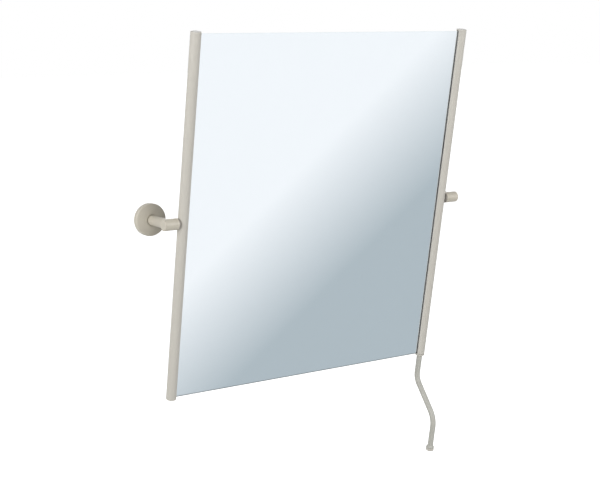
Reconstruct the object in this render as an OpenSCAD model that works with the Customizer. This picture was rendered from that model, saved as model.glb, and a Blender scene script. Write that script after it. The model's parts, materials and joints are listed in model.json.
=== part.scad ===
/* [Glass] */
// Width of the glass
glass_w = 600; // [400:10:800]
// Height of the glass
glass_h = 700; // [500:10:900]
// Thickness of the glass
glass_t = 4; // [3:0.5:6]
// Flat ground round the edges of the glass
glass_arris = 0.4; // [0.3:0.1:1]
// Thickness of the safety film on the back
film_t = 0.5; // [0.3:0.1:1]
// Bare glass left between the film and the rails, and above and below it
film_margin = 3; // [1:0.5:8]
// Tilt of the mirror as it stands, top forward
tilt = 9.5; // [-10:0.5:10.5]

/* [Rails] */
// Outer diameter of the rails
rail_d = 20; // [18:1:26]
// Wall of the rails
rail_wall = 1.8; // [1.2:0.1:2]
// Wall of the glazing channel inside the rails
web_t = 1.2; // [0.8:0.1:1.6]
// How far the rails and their caps reach past the glass
rail_over = 3.5; // [3.2:0.1:10]
// Chamfer at the mouth of the glazing channel
mouth_chamfer = 0.5; // [0.2:0.1:0.8]
// Thickness of the gasket beside the glass
gasket_t = 0.7; // [0.5:0.1:1.4]
// Thickness of the gasket behind the edge of the glass
gasket_base = 0.6; // [0.4:0.1:1]
// How far inside the rail's side the gasket's lips lie
lip_inset = 0.2; // [0:0.05:0.4]
// Thickness of the end caps
cap_t = 3; // [2:0.1:3.1]
// Rounding of the end caps
cap_round = 1; // [0.4:0.1:1.5]
// Depth of the end caps' plugs in the rails
cap_plug = 8; // [5:1:14]
// Play round plugs and slugs inside the rails
plug_play = 0.1; // [0.05:0.05:0.2]

/* [Pivot] */
// Diameter of the pivot bolts
bolt_d = 8; // [6:1:8]
// Diameter of the bolt heads
bolt_head_d = 13; // [12:0.5:13]
// Height of the bolt heads
bolt_head_h = 5; // [4:0.5:6]
// Width across the flats of the bolts' sockets
bolt_socket = 5; // [4:0.5:6]
// Depth of the bolts' sockets
bolt_socket_depth = 3; // [2:0.5:3.5]
// Chamfer at the tips of the bolts
bolt_tip = 0.8; // [0.5:0.1:1.2]
// Length of thread in the pivot blocks
bolt_reach = 7; // [5:0.5:8]
// Radial play of the bolts in the bushes
bolt_play = 0.05; // [0.02:0.01:0.1]
// Radial play of the bolts in washers and spacers
washer_play = 0.1; // [0.05:0.05:0.3]
// Height of the pivot blocks
block_h = 36; // [24:1:60]
// Outer diameter of the spacers through the rails' walls
spacer_d = 12; // [10:0.5:13]
// Depth of the spacers' seats in the pivot blocks
spacer_seat = 2; // [1:0.5:3]
// How far the spacers stand proud of the rails
spacer_proud = 0.3; // [0.3:0.1:1]
// Outer diameter of the friction washers
friction_d = 21; // [18:0.5:22]
// Thickness of the friction washers
friction_t = 2; // [1:0.5:3]
// Running gap between flat faces that turn on each other
face_play = 0.02; // [0.01:0.01:0.05]
// Length of the bushes' visible rings
ring_l = 5.5; // [4:0.5:7]
// Length of the bushes inside the stubs
bush_l = 8; // [6:0.5:9]
// Thickness of the thrust washers
thrust_t = 1.2; // [0.8:0.1:1.6]
// Outer diameter of thrust washers and disc springs
thrust_d = 15; // [13:0.5:16]
// Thickness of a disc spring
disc_t = 0.8; // [0.5:0.1:1]
// Cone height of a disc spring
disc_rise = 0.3; // [0.2:0.1:0.5]

/* [Brackets] */
// Distance from the wall to the pivot axis
wall_gap = 80; // [76:1:120]
// Distance from the rail's axis to the post's axis
post_reach = 29; // [28:0.5:40]
// Outer diameter of the stubs
stub_d = 22; // [20:0.5:26]
// Bore of the stubs
stub_bore = 16.8; // [16.5:0.1:17.5]
// How far the stubs run past the posts' axes, caps included
stub_over = 12; // [11:0.5:15]
// Thickness of the stub caps
lid_t = 1.5; // [1:0.1:2.5]
// Rounding of the stub caps
lid_round = 0.8; // [0.3:0.1:1]
// Depth of the stub caps in the stubs
lid_plug = 3.5; // [2:0.5:5]
// Wall of the stub caps' skirts
lid_wall = 1.2; // [0.8:0.1:1.6]
// Outer diameter of the posts and collars
post_d = 19; // [18:0.5:20]
// Bore of the posts
post_bore = 13; // [10:0.5:14]
// Visible length of the collars
collar_l = 14; // [12:1:24]
// Length of the collars' necks inside the posts
neck_l = 8; // [5:1:12]
// Outer diameter of the collars' necks
neck_d = 16.4; // [16:0.1:16.8]
// Chamfer at the joints between ring, stub, collar and post
joint_chamfer = 0.3; // [0.1:0.1:0.5]
// Diameter of the spigots
spigot_d = 14; // [12:0.5:14]
// Play of push fits between bracket pieces
fit_play = 0.05; // [0.03:0.01:0.1]
// Diameter of the grub screws
grub_d = 5; // [4:0.5:6]
// Length of the grub screws
grub_l = 3.5; // [3:0.1:4]
// Width across the flats of the grub screws' sockets
grub_socket = 2.5; // [2:0.5:3]
// Depth of the grub screws' sockets
grub_socket_depth = 1.8; // [1.4:0.1:2.2]
// Depth of the grooves that the grub screws press into
groove_depth = 1.2; // [0.8:0.1:1.6]
// Play of the grub screws' tips in the grooves
groove_play = 0.3; // [0.2:0.1:0.5]

/* [Rosettes] */
// Outer diameter of the rosettes
rosette_d = 62; // [58:1:80]
// Height of the rosettes' rims
rosette_rim = 10.5; // [8:0.5:12]
// Height of the rosettes at their crowns
rosette_h = 15; // [14:0.5:20]
// Rounding between the rim and the dome
rosette_round = 3; // [0.5:0.5:4]
// Wall of the rosettes
rosette_wall = 1.5; // [1:0.1:2]
// Diameter of the hole in the rosettes
rosette_hole = 15.8; // [15.4:0.1:16.2]
// Width of the rosettes' flat land round the collars
rosette_land = 0.5; // [0.3:0.1:1]
// Diameter of the wall plates
plate_d = 52; // [48:1:54]
// Thickness of the wall plates
plate_t = 3; // [2:0.5:4]
// Distance between the two wall screws of a plate
screw_pitch = 36; // [32:1:40]
// Diameter of the wall screw holes
screw_hole = 5.5; // [4:0.5:7]
// Diameter of the spigots' rivets through the plates
rivet_d = 8; // [6:0.5:10]

/* [Handle] */
// Height of the shadow gap between the right rail and the handle's cap
cap_gap = 0.6; // [0.3:0.1:0.8]
// Depth of the shadow gap
cap_gap_depth = 0.8; // [0.5:0.1:1]
// Diameter of the handle rod
rod_d = 12; // [10:0.5:14]
// Depth of the rod's seat in the end cap
rod_seat = 1.5; // [1:0.1:2]
// Drop from the rail's end to the first bend's corner
rod_drop = 56.5; // [40:0.5:90]
// Angle of the crank
crank_angle = 48; // [30:1:60]
// How far the crank brings the rod forward
crank_out = 73; // [60:1:100]
// Radius of the upper bend
bend_upper = 32; // [20:1:50]
// Radius of the lower bend
bend_lower = 44; // [20:1:50]
// Length of the rod below the lower bend's corner
rod_tail = 62; // [40:1:120]
// Diameter of the threaded studs at both ends of the rod
stud_d = 6; // [5:0.5:6]
// Length of the stud in the rail
stud_l = 28; // [20:1:36]
// Free space between the stud and the glazing channel
stud_space = 0.2; // [0.1:0.1:0.5]
// Length of the threaded insert in the rail
insert_l = 22; // [16:1:40]
// Diameter of the foot
foot_d = 17; // [15:0.5:24]
// Height of the foot
foot_h = 13; // [12:0.5:20]
// Height of the flare at the top of the foot
flare_h = 4.5; // [2:0.5:5]
// Height of the pad under the foot's groove
pad_h = 6; // [5:0.5:6]
// Width of the groove round the foot
pad_groove = 0.8; // [0.5:0.1:0.9]
// Depth of the groove round the foot
pad_groove_depth = 0.8; // [0.4:0.1:1.2]
// Rounding at the bottom of the foot
foot_round = 2; // [1:0.5:3]
// Length of the rod's stud in the foot
foot_stud = 6; // [4:0.5:7]
// Free space past the stud's end in the foot
stud_end = 0.5; // [0.3:0.1:1]

/* [Hidden] */
$fn = 96;
eps = 1;
round_steps = 6;
dome_steps = 14;
flare_steps = 8;
bend_steps = 10;
rod_sides = 40;

// glazing channel, measured from the rail's axis towards the glass
core_r = stud_d / 2 + stud_space;
channel_x = -(core_r + web_t);
glass_edge_x = channel_x - gasket_base;
slot_w = glass_t + 2 * gasket_t;
rail_r = rail_d / 2;
bore_r = rail_r - rail_wall;
rail_x = glass_w / 2 - glass_edge_x;
mouth_x = -sqrt(rail_r * rail_r - slot_w * slot_w / 4);
rail_half = glass_h / 2 + rail_over;
tube_half = rail_half - cap_t;

// pivot stack, measured outwards from the rail's axis
seat_x = bore_r - spacer_seat;
friction_x = rail_r + spacer_proud;
friction_end = friction_x + friction_t;
ring_x = friction_end + face_play;
stub_x = ring_x + ring_l;
bush_end = stub_x + bush_l;
thrust_x = bush_end + face_play;
disc_x = thrust_x + thrust_t;
disc_h = disc_t + disc_rise;
head_x = disc_x + 2 * disc_h;
bolt_end_x = seat_x - bolt_reach;
stub_end_x = post_reach + stub_over;
lid_x = stub_end_x - lid_t;

// wall stack, measured from the wall
collar_z = rosette_h;
post_z = collar_z + collar_l;
spigot_top = post_z + neck_l;
grub_z = collar_z + collar_l / 2;
groove_r = spigot_d / 2 - groove_depth;
hole_r = rosette_hole / 2;

// rosette dome: centre and radius of the arc from the rim to the crown
rosette_r = rosette_d / 2;
land_r = post_d / 2 + rosette_land;
dome_y = (pow(rosette_r, 2) + pow(rosette_rim, 2) - pow(land_r, 2) - pow(rosette_h, 2))
         / (2 * (rosette_rim - rosette_h));
dome_r = sqrt(pow(rosette_r, 2) + pow(rosette_rim - dome_y, 2));

// rounding that touches the rim and the dome from inside
round_x = rosette_r - rosette_round;
round_y = dome_y + sqrt(pow(dome_r - rosette_round, 2) - pow(round_x, 2));
round_angle = atan2(round_y - dome_y, round_x);

// handle: the parts of each leg that its bends take up
bend_take_upper = bend_upper * tan(crank_angle / 2);
bend_take_lower = bend_lower * tan(crank_angle / 2);
crank_l = crank_out / sin(crank_angle);
stud_r = stud_d / 2;
rod_r = rod_d / 2;

paint = [0.78, 0.76, 0.70];
steel = [0.70, 0.71, 0.72];
zinc = [0.62, 0.63, 0.64];
dark = [0.16, 0.15, 0.15];

// points on an arc, for profiles
function arc(cx, cy, r, from, to, n) =
    [for (i = [0:n]) let (a = from + (to - from) * i / n) [cx + r * cos(a), cy + r * sin(a)]];

// the tilting mirror: x right, y to the wall, z up, from the middle of the pivot axis
module on_mirror() {
    translate([0, -wall_gap, 0]) rotate([tilt, 0, 0]) children();
}

// one rail's axis, with x outwards on both sides
module at_rail(side) {
    on_mirror() translate([side * rail_x, 0, 0]) mirror([side < 0 ? 1 : 0, 0, 0]) children();
}

// the pivot axis from a rail outwards along z, tilting with the mirror
module on_bolt(side) {
    at_rail(side) rotate([0, 90, 0]) children();
}

// the same axis, standing still with the bracket
module on_stub(side) {
    translate([side * rail_x, -wall_gap, 0]) mirror([side < 0 ? 1 : 0, 0, 0])
        rotate([0, 90, 0]) children();
}

// a bracket's axis out of the wall along z, with y up
module on_wall(side) {
    translate([side * (rail_x + post_reach), 0, 0]) rotate([90, 0, 0]) children();
}

module ring(outer_r, inner_r, from, to) {
    translate([0, 0, from]) difference() {
        cylinder(r = outer_r, h = to - from);
        translate([0, 0, -eps]) cylinder(r = inner_r, h = to - from + 2 * eps);
    }
}

// rectangle with its corners cut, centred
module cut_rectangle(w, h, c) {
    polygon([[c - w / 2, -h / 2], [w / 2 - c, -h / 2], [w / 2, c - h / 2], [w / 2, h / 2 - c],
             [w / 2 - c, h / 2], [c - w / 2, h / 2], [-w / 2, h / 2 - c], [-w / 2, c - h / 2]]);
}

module mirror_glass() {
    color([0.80, 0.87, 0.90]) on_mirror() intersection() {
        linear_extrude(glass_h, center = true) cut_rectangle(glass_w, glass_t, glass_arris);
        rotate([90, 0, 90]) linear_extrude(glass_w, center = true)
            cut_rectangle(glass_t, glass_h, glass_arris);
    }
}

module safety_film() {
    film_w = 2 * (rail_x - rail_r - film_margin);
    film_h = glass_h - 2 * film_margin;
    color([0.55, 0.57, 0.58]) on_mirror()
        translate([-film_w / 2, glass_t / 2, -film_h / 2]) cube([film_w, film_t, film_h]);
}

// space inside a rail beside and behind the glazing channel, drawn smaller by the gap
module hollow_outline(gap) {
    difference() {
        circle(r = bore_r - gap);
        translate([-rail_r, -slot_w / 2 - web_t - gap])
            square([rail_r - core_r + gap, slot_w + 2 * (web_t + gap)]);
    }
}

module rail_outline() {
    difference() {
        circle(r = rail_r);
        hollow_outline(0);
        translate([-rail_d, -slot_w / 2]) square([rail_d + channel_x, slot_w]);
        for (s = [-1, 1]) translate([mouth_x, s * slot_w / 2]) rotate(45)
            square(mouth_chamfer * sqrt(2), center = true);
    }
}

module rail() {
    color(paint) difference() {
        linear_extrude(2 * tube_half, center = true) rail_outline();
        rotate([0, 90, 0]) cylinder(d = spacer_d + 2 * fit_play, h = rail_d);
    }
}

// U-shaped gasket with a rounded lip on each leg
module gasket() {
    lip_r = gasket_t / 2;
    lip_x = lip_inset - rail_r;
    color(dark) linear_extrude(glass_h, center = true) {
        difference() {
            translate([lip_x, -slot_w / 2]) square([channel_x - lip_x, slot_w]);
            translate([lip_x - eps, -glass_t / 2]) square([glass_edge_x - lip_x + eps, glass_t]);
        }
        for (s = [-1, 1]) translate([lip_x, s * (glass_t / 2 + lip_r)]) circle(r = lip_r);
    }
}

// end cap above the rail's end, plug below
module end_cap() {
    c = joint_chamfer;
    color(paint) {
        rotate_extrude() polygon(concat([[0, 0], [rail_r - c, 0], [rail_r, c]],
            arc(rail_r - cap_round, cap_t - cap_round, cap_round, 0, 90, round_steps), [[0, cap_t]]));
        translate([0, 0, -cap_plug]) linear_extrude(cap_plug + c) hollow_outline(plug_play);
    }
}

module top_cap(side) {
    at_rail(side) translate([0, 0, tube_half]) end_cap();
}

module bottom_cap(side) {
    at_rail(side) mirror([0, 0, 1]) translate([0, 0, tube_half]) end_cap();
}

// the lower right cap lets the handle's stud through, seats the rod and leaves a shadow gap
module handle_cap() {
    difference() {
        bottom_cap(1);
        at_rail(1) translate([0, 0, -rail_half]) {
            translate([0, 0, -eps]) cylinder(d = rod_d + 2 * fit_play, h = rod_seat + eps);
            cylinder(r = stud_r + plug_play, h = cap_t + cap_plug + eps);
            ring(rail_r + eps, rail_r - cap_gap_depth, cap_t - cap_gap, cap_t + eps);
        }
    }
}

// D-shaped slug that fills a rail behind the glazing channel
module slug(h) {
    linear_extrude(h) difference() {
        circle(r = bore_r - plug_play);
        translate([-rail_d, -rail_r]) square([rail_d - core_r + plug_play, rail_d]);
    }
}

module handle_insert() {
    base = tube_half - cap_plug;
    top_end = rail_half - rod_seat - stud_l;
    color(steel) at_rail(1) difference() {
        translate([0, 0, -base]) slug(insert_l);
        translate([0, 0, -base - eps]) cylinder(r = stud_r, h = base - top_end + 2 * eps);
    }
}

// sections along the handle: [forward, down, heading, radius], from the tip of the upper stud
handle_sections = let (
        bend_1 = rod_seat + rod_drop - bend_take_upper,
        crank = crank_l - bend_take_upper - bend_take_lower,
        forward_2 = bend_upper * (1 - cos(crank_angle)) + crank * sin(crank_angle),
        bend_2 = bend_1 + bend_upper * sin(crank_angle) + crank * cos(crank_angle),
        end = rod_seat + rod_drop + crank_l * cos(crank_angle) + rod_tail)
    concat(
        [[0, -stud_l, 0, stud_r], [0, 0, 0, stud_r], [0, 0, 0, rod_r]],
        [for (i = [0:bend_steps]) let (a = crank_angle * i / bend_steps)
            [bend_upper * (1 - cos(a)), bend_1 + bend_upper * sin(a), a, rod_r]],
        [for (i = [0:bend_steps]) let (a = crank_angle * (1 - i / bend_steps))
            [forward_2 + bend_lower * (cos(a) - cos(crank_angle)),
             bend_2 + bend_lower * (sin(crank_angle) - sin(a)), a, rod_r]],
        [[crank_out, end, 0, rod_r], [crank_out, end, 0, stud_r],
         [crank_out, end + foot_stud, 0, stud_r]]);

module handle_rod() {
    last = len(handle_sections) - 1;
    points = [for (s = handle_sections) for (k = [0:rod_sides - 1]) let (a = 360 * k / rod_sides)
        [s[3] * cos(a), -s[0] - s[3] * sin(a) * cos(s[2]), -s[1] + s[3] * sin(a) * sin(s[2])]];
    walls = [for (i = [0:last - 1]) for (k = [0:rod_sides - 1]) let (n = (k + 1) % rod_sides)
        [i * rod_sides + k, (i + 1) * rod_sides + k, (i + 1) * rod_sides + n, i * rod_sides + n]];
    ends = [[for (k = [0:rod_sides - 1]) k],
            [for (k = [rod_sides - 1:-1:0]) last * rod_sides + k]];
    color(paint) at_rail(1) translate([0, 0, rod_seat - rail_half])
        polyhedron(points, concat(walls, ends));
}

module handle_foot() {
    drop = rail_half + rod_drop + crank_l * cos(crank_angle) + rod_tail;
    foot_r = foot_d / 2;
    flare = foot_r - rod_r;
    pad_top = foot_h - pad_h;
    groove_bottom = foot_r - pad_groove_depth;
    color(paint) at_rail(1) translate([0, -crank_out, -drop]) rotate([180, 0, 0]) difference() {
        rotate_extrude() polygon(concat([[0, 0], [rod_r, 0]],
            [for (i = [1:flare_steps]) let (t = i / flare_steps)
                [rod_r + flare * (1 - cos(180 * t)) / 2, flare_h * t]],
            [[foot_r, pad_top - pad_groove], [groove_bottom, pad_top - pad_groove],
             [groove_bottom, pad_top], [foot_r, pad_top]],
            arc(foot_r - foot_round, foot_h - foot_round, foot_round, 0, 90, round_steps),
            [[0, foot_h]]));
        translate([0, 0, -eps]) cylinder(r = stud_r + fit_play, h = eps + foot_stud + stud_end);
    }
}

module pivot_block(side) {
    color(steel) at_rail(side) difference() {
        translate([0, 0, -block_h / 2]) slug(block_h);
        rotate([0, 90, 0]) translate([0, 0, -rail_r]) cylinder(d = bolt_d, h = rail_d);
        rotate([0, 90, 0]) translate([0, 0, seat_x]) cylinder(d = spacer_d + 2 * fit_play, h = rail_d);
    }
}

module spacer(side) {
    color(steel) on_bolt(side) ring(spacer_d / 2, bolt_d / 2 + washer_play, seat_x, friction_x);
}

module friction_washer(side) {
    color(dark) on_bolt(side) ring(friction_d / 2, bolt_d / 2 + washer_play, friction_x, friction_end);
}

module pivot_bolt(side) {
    color(steel) on_bolt(side) difference() {
        union() {
            translate([0, 0, bolt_end_x])
                cylinder(d1 = bolt_d - 2 * bolt_tip, d2 = bolt_d, h = bolt_tip);
            translate([0, 0, bolt_end_x + bolt_tip])
                cylinder(d = bolt_d, h = head_x - bolt_end_x - bolt_tip);
            translate([0, 0, head_x]) cylinder(d = bolt_head_d, h = bolt_head_h);
        }
        translate([0, 0, head_x + bolt_head_h - bolt_socket_depth])
            cylinder(d = bolt_socket / cos(30), h = bolt_socket_depth + eps, $fn = 6);
    }
}

module thrust_washers() {
    for (side = [-1, 1]) color(steel) on_bolt(side)
        ring(thrust_d / 2, bolt_d / 2 + washer_play, thrust_x, disc_x);
}

// two coned rings that meet at their outer rims
module disc_springs() {
    inner = bolt_d / 2 + washer_play;
    outer = thrust_d / 2;
    for (side = [-1, 1]) color(steel) on_bolt(side) {
        translate([0, 0, disc_x]) rotate_extrude()
            polygon([[inner, 0], [outer, disc_rise], [outer, disc_h], [inner, disc_t]]);
        translate([0, 0, head_x]) mirror([0, 0, 1]) rotate_extrude()
            polygon([[inner, 0], [outer, disc_rise], [outer, disc_h], [inner, disc_t]]);
    }
}

// flanged bearing: its flange is the ring that shows beside the rail
module bush(side) {
    r = stub_d / 2;
    c = joint_chamfer;
    neck = stub_bore / 2 - fit_play;
    bore = bolt_d / 2 + bolt_play;
    color(paint) on_stub(side) rotate_extrude()
        polygon([[bore, ring_x], [r - c, ring_x], [r, ring_x + c], [r, stub_x - c], [r - c, stub_x],
                 [neck, stub_x], [neck, bush_end], [bore, bush_end]]);
}

module stub(side) {
    r = stub_d / 2;
    c = joint_chamfer;
    color(paint) on_stub(side) rotate_extrude()
        polygon([[stub_bore / 2, stub_x], [r - c, stub_x], [r, stub_x + c], [r, lid_x],
                 [stub_bore / 2, lid_x]]);
}

// flat cap with a short skirt inside the stub
module stub_cap(side) {
    r = stub_d / 2;
    skirt = stub_bore / 2 - fit_play;
    color(paint) on_stub(side) rotate_extrude()
        polygon(concat([[0, lid_x], [skirt - lid_wall, lid_x], [skirt - lid_wall, lid_x - lid_plug],
            [skirt, lid_x - lid_plug], [skirt, lid_x], [r, lid_x]],
            arc(r - lid_round, stub_end_x - lid_round, lid_round, 0, 90, round_steps),
            [[0, stub_end_x]]));
}

// tube whose front end is cut to the round of the stub
module post(side) {
    c = joint_chamfer;
    r = post_d / 2;
    socket = neck_d / 2 + fit_play;
    color(paint) on_wall(side) difference() {
        rotate_extrude()
            polygon([[socket, post_z], [r - c, post_z], [r, post_z + c], [r, wall_gap],
                     [post_bore / 2, wall_gap], [post_bore / 2, spigot_top + c],
                     [socket, spigot_top + c]]);
        translate([0, 0, wall_gap]) rotate([0, 90, 0])
            cylinder(d = stub_d, h = 2 * stub_d, center = true);
    }
}

// clamp ring on the spigot, with a lip in the rosette and a neck in the post
module collar(side) {
    c = joint_chamfer;
    r = post_d / 2;
    bore = spigot_d / 2 + fit_play;
    lip_z = collar_z - rosette_wall;
    color(paint) on_wall(side) difference() {
        rotate_extrude()
            polygon([[bore, lip_z], [hole_r - fit_play, lip_z], [hole_r - fit_play, collar_z],
                     [r - c, collar_z], [r, collar_z + c], [r, post_z - c], [r - c, post_z],
                     [neck_d / 2, post_z], [neck_d / 2, spigot_top], [bore, spigot_top]]);
        translate([0, 0, grub_z]) rotate([90, 0, 0]) cylinder(d = grub_d, h = post_d);
    }
}

// turned pin with a groove for the grub screw, riveted into the wall plate
module spigot(side) {
    r = spigot_d / 2;
    c = groove_depth;
    half = grub_d / 2 + groove_play;
    color(zinc) on_wall(side) rotate_extrude()
        polygon([[0, 0], [rivet_d / 2, 0], [rivet_d / 2, plate_t], [r, plate_t],
                 [r, grub_z - half - c], [groove_r, grub_z - half], [groove_r, grub_z + half],
                 [r, grub_z + half + c], [r, spigot_top - c], [r - c, spigot_top], [0, spigot_top]]);
}

module grub_screws() {
    for (side = [-1, 1]) color(steel) on_wall(side)
        translate([0, 0, grub_z]) rotate([90, 0, 0]) translate([0, 0, groove_r]) difference() {
            cylinder(d = grub_d, h = grub_l);
            translate([0, 0, grub_l - grub_socket_depth])
                cylinder(d = grub_socket / cos(30), h = grub_socket_depth + eps, $fn = 6);
        }
}

module wall_plate(side) {
    color(zinc) on_wall(side) difference() {
        cylinder(d = plate_d, h = plate_t);
        translate([0, 0, -eps]) cylinder(d = rivet_d, h = plate_t + 2 * eps);
        for (s = [-1, 1]) translate([0, s * screw_pitch / 2, -eps])
            cylinder(d = screw_hole, h = plate_t + 2 * eps);
    }
}

// domed shell over the wall plate with a flat land for the collar
module rosette(side) {
    inner_r = dome_r - rosette_wall;
    color(paint) on_wall(side) rotate_extrude()
        polygon(concat([[hole_r, rosette_h]],
            arc(0, dome_y, dome_r, acos(land_r / dome_r), round_angle, dome_steps),
            arc(round_x, round_y, rosette_round, round_angle, 0, round_steps),
            [[rosette_r, 0], [rosette_r - rosette_wall, 0]],
            arc(0, dome_y, inner_r, acos((rosette_r - rosette_wall) / inner_r),
                acos(land_r / inner_r), dome_steps),
            [[hole_r, rosette_h - rosette_wall]]));
}

mirror_glass();
safety_film();
at_rail(-1) rail();  // left_rail
at_rail(1) rail();  // right_rail
at_rail(-1) gasket();  // left_gasket
at_rail(1) gasket();  // right_gasket
top_cap(-1);  // cap_top_left
top_cap(1);  // cap_top_right
bottom_cap(-1);  // cap_bottom_left
handle_cap();  // cap_bottom_right
handle_insert();
handle_rod();
handle_foot();
pivot_block(-1);  // left_pivot_block
pivot_block(1);  // right_pivot_block
spacer(-1);  // left_spacer
spacer(1);  // right_spacer
friction_washer(-1);  // left_friction_washer
friction_washer(1);  // right_friction_washer
pivot_bolt(-1);  // left_pivot_bolt
pivot_bolt(1);  // right_pivot_bolt
disc_springs();
thrust_washers();
bush(-1);  // left_bush
bush(1);  // right_bush
stub(-1);  // left_stub
stub(1);  // right_stub
stub_cap(-1);  // left_stub_cap
stub_cap(1);  // right_stub_cap
post(-1);  // left_post
post(1);  // right_post
collar(-1);  // left_collar
collar(1);  // right_collar
spigot(-1);  // left_spigot
spigot(1);  // right_spigot
grub_screws();
wall_plate(-1);  // left_wall_plate
wall_plate(1);  // right_wall_plate
rosette(-1);  // left_rosette
rosette(1);  // right_rosette
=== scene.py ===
import json
import math

import bmesh
import bpy
import numpy as np
from mathutils import Matrix, Vector


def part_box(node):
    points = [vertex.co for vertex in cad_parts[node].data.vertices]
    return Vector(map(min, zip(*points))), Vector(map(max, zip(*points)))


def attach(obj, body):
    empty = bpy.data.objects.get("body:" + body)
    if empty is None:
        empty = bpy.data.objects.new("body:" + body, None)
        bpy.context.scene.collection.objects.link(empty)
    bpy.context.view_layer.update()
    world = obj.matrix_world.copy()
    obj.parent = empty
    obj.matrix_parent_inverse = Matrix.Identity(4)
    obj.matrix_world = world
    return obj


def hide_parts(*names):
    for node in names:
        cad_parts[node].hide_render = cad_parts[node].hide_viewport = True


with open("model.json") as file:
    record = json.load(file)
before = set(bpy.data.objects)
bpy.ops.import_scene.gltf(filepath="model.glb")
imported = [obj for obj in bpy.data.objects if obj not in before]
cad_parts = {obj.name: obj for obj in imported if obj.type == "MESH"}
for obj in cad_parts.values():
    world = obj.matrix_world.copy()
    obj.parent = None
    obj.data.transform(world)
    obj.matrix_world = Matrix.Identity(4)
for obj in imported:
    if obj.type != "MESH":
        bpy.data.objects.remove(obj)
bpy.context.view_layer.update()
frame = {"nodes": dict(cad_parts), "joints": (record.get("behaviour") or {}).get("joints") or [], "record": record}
mm = 0.001
print("frame loaded:", len(frame["nodes"]), "nodes")

cameraView = {
    "place": (-1.44326, -2.16928, 0.37823),  # metres, in the frame of the model
    "turn": -33.761,  # degrees about z, from looking along +y
    "dip": 9.795,  # degrees below the horizon
    "lens": 78.455,  # mm
    "sensor": 36,  # mm
    "clip": (0.05, 100),  # metres
}


def makeCamera(view):
    data = bpy.data.cameras.new("camera")
    data.sensor_width = view["sensor"]
    data.lens = view["lens"]
    data.clip_start, data.clip_end = view["clip"]
    camera = bpy.data.objects.new("camera", data)
    camera.location = view["place"]
    camera.rotation_euler = (math.radians(90 - view["dip"]), 0, math.radians(view["turn"]))
    bpy.context.scene.collection.objects.link(camera)
    bpy.context.scene.camera = camera


makeCamera(cameraView)
bpy.context.scene.view_settings.view_transform = "Standard"
print("camera placed")

restTilt = math.radians(9.5)  # the mirror's lean as it is packed
pivot = Vector(next(j for j in frame["joints"] if j["name"] == "tilt")["pos_m"])
mirrorPlace = Matrix.Translation(pivot) @ Matrix.Rotation(restTilt, 4, "X")
sides = {"left": -1, "right": 1}


# Lowest and highest corner of a node's points, measured in a frame of its own.
def boxIn(node, place):
    mesh = frame["nodes"][node].data
    points = np.empty(len(mesh.vertices) * 3, np.float32)
    mesh.vertices.foreach_get("co", points)
    back = np.array(place.inverted())
    points = points.reshape(-1, 3) @ back[:3, :3].T + back[:3, 3]
    return points.min(0), points.max(0)


# A frame with z along the given direction and y as near to up as can be.
def axisPlace(origin, direction, up):
    z = Vector(direction).normalized()
    x = Vector(up).cross(z).normalized()
    turn = Matrix((x, z.cross(x), z)).transposed().to_4x4()
    return Matrix.Translation(origin) @ turn


# Frames of a bracket's pieces: z out along the pivot's line, and z out of the wall.
def stubPlace(side):
    return axisPlace(pivot, (side, 0, 0), (0, 0, 1))


def wallPlace(name):
    low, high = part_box(name + "_rosette")
    return axisPlace(((low[0] + high[0]) / 2, 0, 0), (0, -1, 0), (0, 0, 1))


# One end of a rail: the frame's z runs out of the tube's end, from the middle of its length.
def railPlace(node):
    low, high = boxIn(node, mirrorPlace)
    middle = (low + high) / 2
    out = 1 if middle[2] > 0 else -1
    return mirrorPlace @ axisPlace((middle[0], middle[1], 0), (0, 0, out), (0, -1, 0))


def unit(v):
    return v / np.linalg.norm(v)


# Corners (a, b, radius) become tangent arcs: an arc's centre lies on its corner's bisector,
# at radius / sin(half the corner's angle). Returns the points, and 1 on arcs and 0 elsewhere.
def rounded(corners, closed=True, steps=6):
    spots = np.array([c[:2] for c in corners], float)
    points, edge = [], []
    for i, corner in enumerate(corners):
        radius = corner[2] if len(corner) > 2 else 0
        atEnd = not closed and i in (0, len(corners) - 1)
        if radius == 0 or atEnd:
            points.append(spots[i][None])
            edge.append([0.0])
            continue
        back = unit(spots[i - 1] - spots[i])
        ahead = unit(spots[(i + 1) % len(corners)] - spots[i])
        half = math.acos(np.clip(back @ ahead, -1, 1)) / 2
        centre = spots[i] + unit(back + ahead) * radius / math.sin(half)
        reach = radius / math.tan(half)
        first = unit(spots[i] + back * reach - centre)
        last = unit(spots[i] + ahead * reach - centre)
        sweep = math.pi - 2 * half
        t = np.linspace(0, 1, steps + 1)[:, None]
        arc = (np.sin((1 - t) * sweep) * first + np.sin(t * sweep) * last) / math.sin(sweep)
        points.append(centre + radius * arc)
        edge.append([1.0] * (steps + 1))
    return np.concatenate(points), np.concatenate(edge)


# Points on an arc about (a, b): the centre plus the radius times cosine and sine of each angle.
def arcPoints(a, b, radius, start, end, count):
    angle = np.linspace(start, end, count)
    return np.stack([a + radius * np.cos(angle), b + radius * np.sin(angle)], -1)


# Quads between neighbours of a grid of points; rows and columns close on themselves if asked.
def gridFaces(rows, columns, rowsClose, columnsClose):
    i = np.arange(rows if rowsClose else rows - 1)[:, None]
    k = np.arange(columns if columnsClose else columns - 1)[None]
    nextRow, nextColumn = (i + 1) % rows, (k + 1) % columns
    corners = [i * columns + k, nextRow * columns + k, nextRow * columns + nextColumn,
               i * columns + nextColumn]
    return np.stack(corners, -1).reshape(-1, 4)


# Poles and seams merge, and every face looks out of the closed surface.
def turnOutward(mesh):
    work = bmesh.new()
    work.from_mesh(mesh)
    bmesh.ops.remove_doubles(work, verts=work.verts, dist=1e-7)
    bmesh.ops.recalc_face_normals(work, faces=work.faces)
    work.to_mesh(mesh)
    work.free()


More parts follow.
